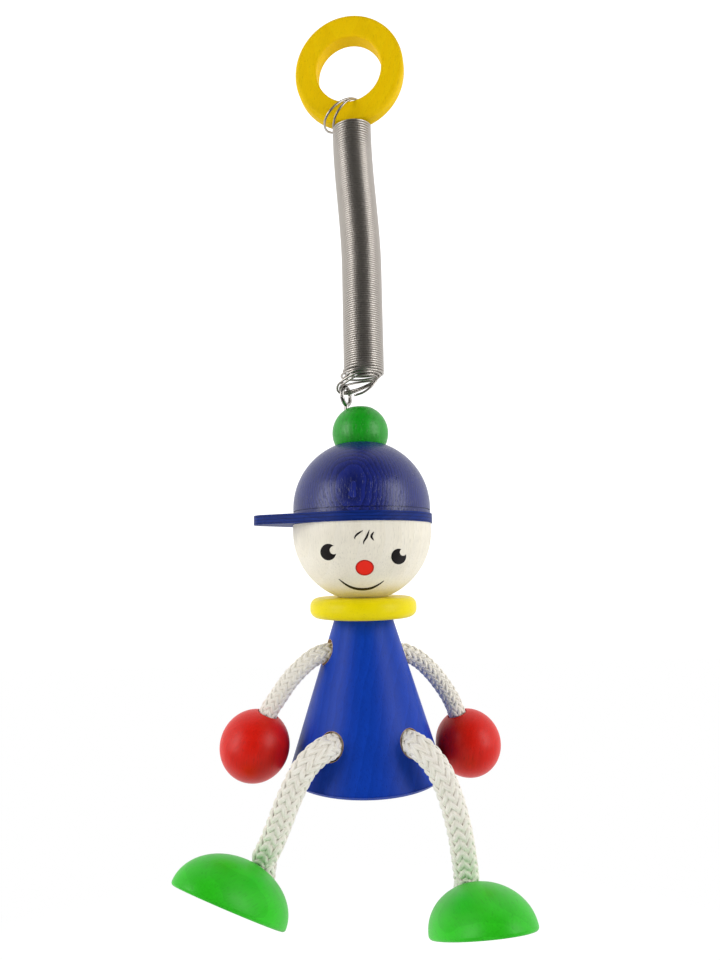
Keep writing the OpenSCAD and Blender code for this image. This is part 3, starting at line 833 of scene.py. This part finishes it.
class TOY_OT_feet(bpy.types.Operator):
    """Turns the two feet, half eggs on flat soles, and drills them for the ropes"""

    bl_idname = "toy.feet"
    bl_label = "Feet"

    def execute(self, context):
        for side in FEET:
            at, turn, _ = FEET[side]
            # gloss lacquer in one thick coat: an even green with soft highlights, little grain
            leaf = turned_wood(
                side.capitalize() + " foot, beech in leaf green lacquer",
                rgba(context.scene.toy_wood.leaf), at, (90, 20, turn),
                ring=3.2, streak=0.2, arcs=0.12, relief=0.2, gloss=0.36, sheen=0.26,
            )
            bm = bmesh.new()
            bmesh.ops.create_uvsphere(bm, u_segments=96, v_segments=64, radius=1)
            bmesh.ops.bisect_plane(
                bm, geom=bm.verts[:] + bm.edges[:] + bm.faces[:], plane_co=(0, 0, 0),
                plane_no=(0, 0, 1), clear_inner=True,
            )
            bmesh.ops.scale(bm, vec=FOOT_EGG, verts=bm.verts)
            bmesh.ops.translate(bm, vec=(0, 0, FOOT_BAND), verts=bm.verts)
            rim = [e for e in bm.edges if e.is_boundary]
            low = bmesh.ops.extrude_edge_only(bm, edges=rim)["geom"]
            low_verts = [g for g in low if isinstance(g, bmesh.types.BMVert)]
            for vert in low_verts:
                vert.co.z = 0
            bmesh.ops.holes_fill(bm, edges=[e for e in bm.edges if e.is_boundary], sides=0)
            sole = [e for e in bm.edges if all(v.co.z < 0.01 for v in e.verts)]
            bmesh.ops.bevel(
                bm, geom=sole, offset=FOOT_ROUNDING, offset_type="OFFSET", segments=4, profile=0.5,
                affect="EDGES", material=-1,
            )
            bmesh.ops.transform(bm, matrix=foot_matrix(side), verts=bm.verts)
            piece = finish_piece(
                bm, side + "_foot_wood", leaf, FOOT_SHARP
            )
            self.drill(context, piece, side)
            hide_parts(side + "_foot")
            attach(piece, side + "_ankle")
        return {"FINISHED"}

    def drill(self, context, piece, side):
        """Cuts the hole for the rope, with a rod that stands on the hole's bottom"""
        bm = bmesh.new()
        bmesh.ops.create_cone(
            bm, cap_ends=True, segments=64, radius1=LEG_HOLE_RADIUS, radius2=LEG_HOLE_RADIUS,
            depth=DRILL_LENGTH,
        )
        low = foot_hole(side, FOOT_HOLE_DEPTH)
        # the way out, towards a point on the axis well above the mouth
        way = (foot_hole(side, -10) - low).normalized()
        turn = way.to_track_quat("Z", "Y").to_matrix().to_4x4()
        middle = Matrix.Translation(low + way * (DRILL_LENGTH / 2))
        bmesh.ops.transform(bm, matrix=middle @ turn, verts=bm.verts)
        bmesh.ops.scale(bm, vec=(MM, MM, MM), verts=bm.verts)
        mesh = bpy.data.meshes.new("drill")
        bm.to_mesh(mesh)
        bm.free()
        drill = bpy.data.objects.new("drill", mesh)
        context.scene.collection.objects.link(drill)
        cut = piece.modifiers.new("hole", "BOOLEAN")
        cut.operation = "DIFFERENCE"
        cut.solver = "EXACT"
        cut.object = drill
        context.view_layer.update()
        done = bpy.data.meshes.new_from_object(piece.evaluated_get(context.evaluated_depsgraph_get()))
        piece.modifiers.clear()
        piece.data = done
        done.set_sharp_from_angle(angle=math.radians(FOOT_SHARP))
        bpy.data.objects.remove(drill)


class TOY_OT_face(bpy.types.Operator):
    """Prints the eyes, nose, mouth and hair on the head"""

    bl_idname = "toy.face"
    bl_label = "Face"

    def execute(self, context):
        sizes = context.scene.toy_face
        film = sizes.film / MM
        bm = bmesh.new()
        for centre, more, bite, bite_radius in EYES:
            self.moon(bm, Vector(centre), sizes.eye / MM + more, Vector(bite), bite_radius)
        for points, thick, thin in STROKES:
            self.stroke(bm, points, thick, thin)
        black = pad_print("Black pad print", rgba(sizes.black))
        self.wrap(bm, film)
        piece = finish_piece(bm, "face_print", black)
        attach(piece, "figure")
        bm = bmesh.new()
        wide = sizes.nose / MM
        self.disc(bm, NOSE, wide, NOSE_HALF_HEIGHT)
        self.wrap(bm, film)
        middle = HEAD_MIDDLE + Vector((NOSE.x, -NOSE_DEPTH, NOSE.y))
        red = pad_print("Red pad print", rgba(sizes.red), (middle, wide, NOSE_HALF_HEIGHT))
        nose = finish_piece(bm, "nose_print", red)
        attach(nose, "figure")
        return {"FINISHED"}

    def disc(self, bm, centre, wide, high):
        """An oval, as a square sheet whose rim is drawn round"""

        def place(u, v):
            u, v = 2 * u - 1, 2 * v - 1
            x, z = u * math.sqrt(1 - v * v / 2), v * math.sqrt(1 - u * u / 2)
            return Vector((centre.x + wide * x, 0, centre.y + high * z))

        bent_sheet(bm, 20, 20, place)

    def moon(self, bm, centre, radius, bite, bite_radius):
        """A disc with a round bite, as a sheet from the bite's edge to the disc's"""
        gap = bite - centre
        apart = gap.length
        facing = math.atan2(gap.y, gap.x)
        out = math.acos((radius**2 + apart**2 - bite_radius**2) / (2 * radius * apart))
        into = math.acos((bite_radius**2 + apart**2 - radius**2) / (2 * bite_radius * apart))

        def place(u, v):
            a = facing + out + (2 * math.pi - 2 * out) * u
            b = facing + math.pi - into + 2 * into * u
            edge = centre + radius * Vector((math.cos(a), math.sin(a)))
            inner = bite + bite_radius * Vector((math.cos(b), math.sin(b)))
            point = inner.lerp(edge, v)
            return Vector((point.x, 0, point.y))

        bent_sheet(bm, 40, 14, place)

    def stroke(self, bm, points, thick, thin):
        """A brush stroke, thickest at its middle"""
        line = smooth_route([(x, 0, z) for x, z in points], 6)
        track = Track(line, 0.4)

        def place(u, v):
            i = round(v * (track.count - 1))
            side = track.ways[i].cross(Vector((0, 1, 0)))
            width = thin + (thick - thin) * math.sin(math.pi * v) ** 0.8
            return track.points[i] + side * width * (u - 0.5)

        bent_sheet(bm, 4, track.count - 1, place)

    def wrap(self, bm, film):
        """Gives the print its thickness and lays it on the head's ball"""
        bm.normal_update()
        bmesh.ops.solidify(bm, geom=bm.faces[:], thickness=PRINT_SHEET)
        low = min(v.co.y for v in bm.verts)
        for vert in bm.verts:
            in_front = vert.co.y < low + PRINT_SHEET / 2
            radius = HEAD_RADIUS + (film if in_front else -PRINT_SHEET / 2)
            depth = math.sqrt(radius**2 - vert.co.x**2 - vert.co.z**2)
            vert.co = HEAD_MIDDLE + Vector((vert.co.x, -depth, vert.co.z))


class TOY_OT_wood(bpy.types.Operator):
    """Stains and lacquers the turned wooden pieces"""

    bl_idname = "toy.wood"
    bl_label = "Wood finishes"

    def execute(self, context):
        stain = context.scene.toy_wood
        # thick gloss lacquer: it hides most of the grain and gives broad, soft highlights
        yellow = turned_wood(
            "Beech ring in yellow gloss lacquer", rgba(stain.yellow), (0, 30, -15.2), (20, 10, 0),
            ring=3, streak=0.1, arcs=0.06, relief=0.1, gloss=0.5, sheen=0.06,
        )
        # the same lacquer on a smoother face: hardly any grain, and tighter highlights
        collar = turned_wood(
            "Beech collar in yellow gloss lacquer", rgba(stain.collar), (AXIS_X, 0, -261),
            (85, 0, 20), ring=4, streak=0.05, arcs=0.05, relief=0.05, gloss=0.3, sheen=0.15,
        )
        # thin stain under varnish: streaks and open pores break up a bright highlight
        bobble = turned_wood(
            "Beech in bobble green stain", rgba(stain.green), (AXIS_X - 40, 20, -186), (3, 4, 0),
            ring=2.2, streak=0.35, arcs=0.12, relief=0.5, gloss=0.32, sheen=0.5,
        )
        # dark stain under varnish: pale growth arcs, and a silvery gloss along the flanks
        dome = turned_wood(
            "Beech in dark blue stain", rgba(stain.navy), (-2, -46, -205), (-14, 0, 0),
            ring=1.3, streak=0.45, arcs=0.75, relief=0.5, gloss=0.25, sheen=0.52,
        )
        # stained plywood: fine streaks on its faces, and dark glue lines round its edge
        brim = turned_wood(
            "Plywood in brim blue stain", rgba(stain.brim_blue), (AXIS_X, 0, -260), (0, 85, 0),
            ring=2.4, streak=0.5, arcs=0.2, relief=0.3, gloss=0.4, sheen=0.12, plies=(-211.1, 1.3),
        )
        # deep stain with a satin face, and bare pale wood in the holes and on their rims
        torso = turned_wood(
            "Beech in royal blue stain", rgba(stain.blue), (AXIS_X - 60, 10, -300), (2, 2, 0),
            ring=3.4, streak=0.3, arcs=0.1, relief=0.2, gloss=0.36, sheen=0.16,
            bores=(
                (ARM_BORE_MIDDLE, ARM_WAY, ARM_BORE_RADIUS, True),
                (LEG_HOLES_MIDDLE, LEG_WAYS["left"], LEG_HOLE_RADIUS, False),
                (LEG_HOLES_MIDDLE, LEG_WAYS["right"], LEG_HOLE_RADIUS, False),
            ),
            bare=rgba(stain.bare),
        )
        # gloss lacquer in a thin coat: the pores still show as fine dark marks
        red = turned_wood(
            "Beech in red gloss lacquer", rgba(stain.red), (-42, 20, -314), (10, 8, 0),
            ring=2.8, streak=0.3, arcs=0.12, relief=0.35, gloss=0.32, sheen=0.28,
        )
        # a thin white wash: the wood's warmth and its wide rings show faintly, with little gloss
        head = turned_wood(
            "Whitewashed beech", rgba(stain.pale), (60, 20, -229), (3, 2, 0),
            ring=6.5, streak=0.16, arcs=0.1, relief=0.2, gloss=0.5, sheen=0.3,
        )
        # no finish at all: plain wood with its growth rings, out of sight inside the toy
        bare = turned_wood(
            "Plain beech", rgba(stain.bare), (AXIS_X, 10, -229), (0, 0, 0),
            ring=2.5, streak=0.4, gloss=0.55, sheen=0.3,
        )
        zinc = plated_steel()
        for node, material in (
            ("hanging_ring", yellow), ("collar", collar), ("cap_bobble", bobble), ("cap_dome", dome),
            ("cap_peak", brim), ("torso", torso), ("left_hand", red), ("right_hand", red),
            ("head", head), ("cap_dowel", bare), ("neck_dowel", bare), ("screw_eye", zinc),
        ):
            dress(node, material)
        return {"FINISHED"}


class TOY_OT_stage(bpy.types.Operator):
    """Sets the pale floor, the soft side lights and the camera"""

    bl_idname = "toy.stage"
    bl_label = "Stage"

    def execute(self, context):
        settings = context.scene.toy_stage
        scene = context.scene
        scene.view_settings.view_transform = "Standard"
        self.world(scene)
        self.floor(scene)
        aside, y, z = LIGHT_PLACE
        self.light("left_light", (-aside, y, z), settings.side_light)
        self.light("right_light", (aside, y, z), settings.side_light)
        camera = bpy.data.cameras.new("camera")
        camera.lens = settings.lens
        camera.sensor_width = 36
        camera.clip_start = 0.01
        camera.clip_end = 50
        view = bpy.data.objects.new("camera", camera)
        scene.collection.objects.link(view)
        pitch, roll = math.radians(CAMERA_PITCH), math.radians(CAMERA_ROLL)
        ahead = Vector((0, math.cos(pitch), math.sin(pitch)))
        up = Vector((0, -math.sin(pitch), math.cos(pitch)))
        across = Vector((1, 0, 0))
        right = math.cos(roll) * across - math.sin(roll) * up
        top = math.sin(roll) * across + math.cos(roll) * up
        turn = Matrix((right, top, -ahead)).transposed().to_4x4()
        view.matrix_world = Matrix.Translation(CAMERA_PLACE * MM) @ turn
        scene.camera = view
        return {"FINISHED"}

    def world(self, scene):
        """White to the camera. As light and in gloss it is white behind and beside the toy, and
        dim in front and above, where the dark room lies beyond the side lights"""
        world = bpy.data.worlds.new("studio")
        world.use_nodes = True
        tree = world.node_tree
        tree.nodes.clear()
        way = add(tree, "TexCoord").outputs["Generated"]
        parts = add(tree, "SeparateXYZ", {}, {"Vector": way})
        depth = add(
            tree, "Math", {"operation": "MULTIPLY_ADD"},
            {0: parts.outputs["Z"], 1: -0.7, 2: parts.outputs["Y"]},
        ).outputs["Value"]
        room = add(
            tree, "MapRange", {"interpolation_type": "SMOOTHSTEP"},
            {"Value": depth, "From Min": -0.95, "From Max": -0.35, "To Min": 0.09},
        ).outputs["Result"]
        rays = add(tree, "LightPath")
        mirrored = add(
            tree, "MapRange", {}, {"Value": rays.outputs["Is Glossy Ray"], "To Min": 1.28, "To Max": 1.0}
        ).outputs["Result"]
        lit = add(tree, "Math", {"operation": "MULTIPLY"}, {0: room, 1: mirrored}).outputs["Value"]
        seen = add(
            tree, "Math", {"operation": "MAXIMUM"},
            {0: rays.outputs["Is Camera Ray"], 1: rays.outputs["Is Transmission Ray"]},
        ).outputs["Value"]
        level = add(tree, "Math", {"operation": "MAXIMUM"}, {0: seen, 1: lit}).outputs["Value"]
        back = add(tree, "Background", {}, {"Color": (1, 1, 1, 1), "Strength": level})
        add(tree, "OutputWorld", {}, {"Surface": back.outputs[0]})
        scene.world = world

    def floor(self, scene):
        """A pale floor well below the feet, which keeps the shadow and fades into the backdrop"""
        bm = bmesh.new()
        bmesh.ops.create_grid(bm, x_segments=1, y_segments=1, size=FLOOR_SIZE)
        bmesh.ops.translate(bm, verts=bm.verts, vec=(0, 0, FLOOR_Z))
        mesh = bpy.data.meshes.new("floor")
        bm.to_mesh(mesh)
        bm.free()
        material, tree = new_material("White studio floor")
        matt = add(tree, "BsdfDiffuse", {}, {"Color": (0.8, 0.8, 0.8, 1)})
        glow = add(tree, "Emission", {}, {"Color": (1, 1, 1, 1), "Strength": 0.6})
        near = add(tree, "AddShader", {}, {0: matt.outputs[0], 1: glow.outputs[0]})
        white = add(tree, "Emission", {}, {"Color": (1, 1, 1, 1), "Strength": 1.0})
        coords = add(tree, "TexCoord").outputs["Object"]
        middle = add(
            tree, "VectorMath", {"operation": "DISTANCE"}, {0: coords, 1: (0, 0, FLOOR_Z)}
        ).outputs["Value"]
        fade = add(
            tree, "MapRange", {"interpolation_type": "SMOOTHSTEP"},
            {"Value": middle, "From Min": 0.3, "From Max": 0.9},
        ).outputs["Result"]
        sight = add(tree, "MixShader", {}, {0: fade, 1: near.outputs[0], 2: white.outputs[0]})
        # in gloss the floor is white beside and behind the toy and dim in front, as the room is
        depth = add(tree, "SeparateXYZ", {}, {"Vector": coords}).outputs["Y"]
        room = add(
            tree, "MapRange", {"interpolation_type": "SMOOTHSTEP"},
            {"Value": depth, "From Min": -0.35, "From Max": 0.15, "To Min": 0.05},
        ).outputs["Result"]
        mirrored = add(tree, "Emission", {}, {"Color": (1, 1, 1, 1), "Strength": room})
        rays = add(tree, "LightPath")
        gloss = add(
            tree, "MixShader", {},
            {0: rays.outputs["Is Glossy Ray"], 1: matt.outputs[0], 2: mirrored.outputs[0]},
        )
        seen = add(
            tree, "Math", {"operation": "MAXIMUM"},
            {0: rays.outputs["Is Camera Ray"], 1: rays.outputs["Is Transmission Ray"]},
        ).outputs["Value"]
        pick = add(tree, "MixShader", {}, {0: seen, 1: gloss.outputs[0], 2: sight.outputs[0]})
        add(tree, "OutputMaterial", {}, {"Surface": pick.outputs[0]})
        mesh.materials.append(material)
        floor = bpy.data.objects.new("floor", mesh)
        scene.collection.objects.link(floor)

    def light(self, name, at, watts):
        """A soft box that points at the toy"""
        lamp = bpy.data.lights.new(name, "AREA")
        lamp.shape = "RECTANGLE"
        lamp.size, lamp.size_y = LIGHT_SIZE
        lamp.energy = watts
        held = bpy.data.objects.new(name, lamp)
        bpy.context.scene.collection.objects.link(held)
        held.location = at
        ahead = Vector(LIGHT_TARGET) - Vector(at)
        held.rotation_euler = ahead.to_track_quat("-Z", "Y").to_euler()


class TOY_PT_panel(bpy.types.Panel):
    """Lists the toy's steps and their sizes"""

    bl_idname = "TOY_PT_panel"
    bl_label = "Swinging figure toy"
    bl_space_type = "VIEW_3D"
    bl_region_type = "UI"
    bl_category = "Toy"

    def draw(self, context):
        for step in STEPS:
            self.layout.operator(step.bl_idname)
        for name in SETTINGS:
            group = getattr(context.scene, name)
            for prop in group.__annotations__:
                self.layout.prop(group, prop)


SETTINGS = {
    "toy_spring": ToySpringSettings,
    "toy_rope": ToyRopeSettings,
    "toy_wood": ToyWoodSettings,
    "toy_face": ToyFaceSettings,
    "toy_stage": ToyStageSettings,
}
STEPS = (TOY_OT_stage, TOY_OT_ropes, TOY_OT_spring, TOY_OT_wood, TOY_OT_feet, TOY_OT_face)


def register():
    for name, group in SETTINGS.items():
        bpy.utils.register_class(group)
        setattr(bpy.types.Scene, name, PointerProperty(type=group))
    for step in STEPS:
        bpy.utils.register_class(step)
    bpy.utils.register_class(TOY_PT_panel)


def unregister():
    bpy.utils.unregister_class(TOY_PT_panel)
    for step in reversed(STEPS):
        bpy.utils.unregister_class(step)
    for name, group in SETTINGS.items():
        delattr(bpy.types.Scene, name)
        bpy.utils.unregister_class(group)


def main():
    """Builds the stage and every piece"""
    register()
    bpy.ops.toy.stage()
    bpy.ops.toy.ropes()
    bpy.ops.toy.spring()
    bpy.ops.toy.wood()
    bpy.ops.toy.feet()
    bpy.ops.toy.face()


if __name__ == "__main__":
    main()
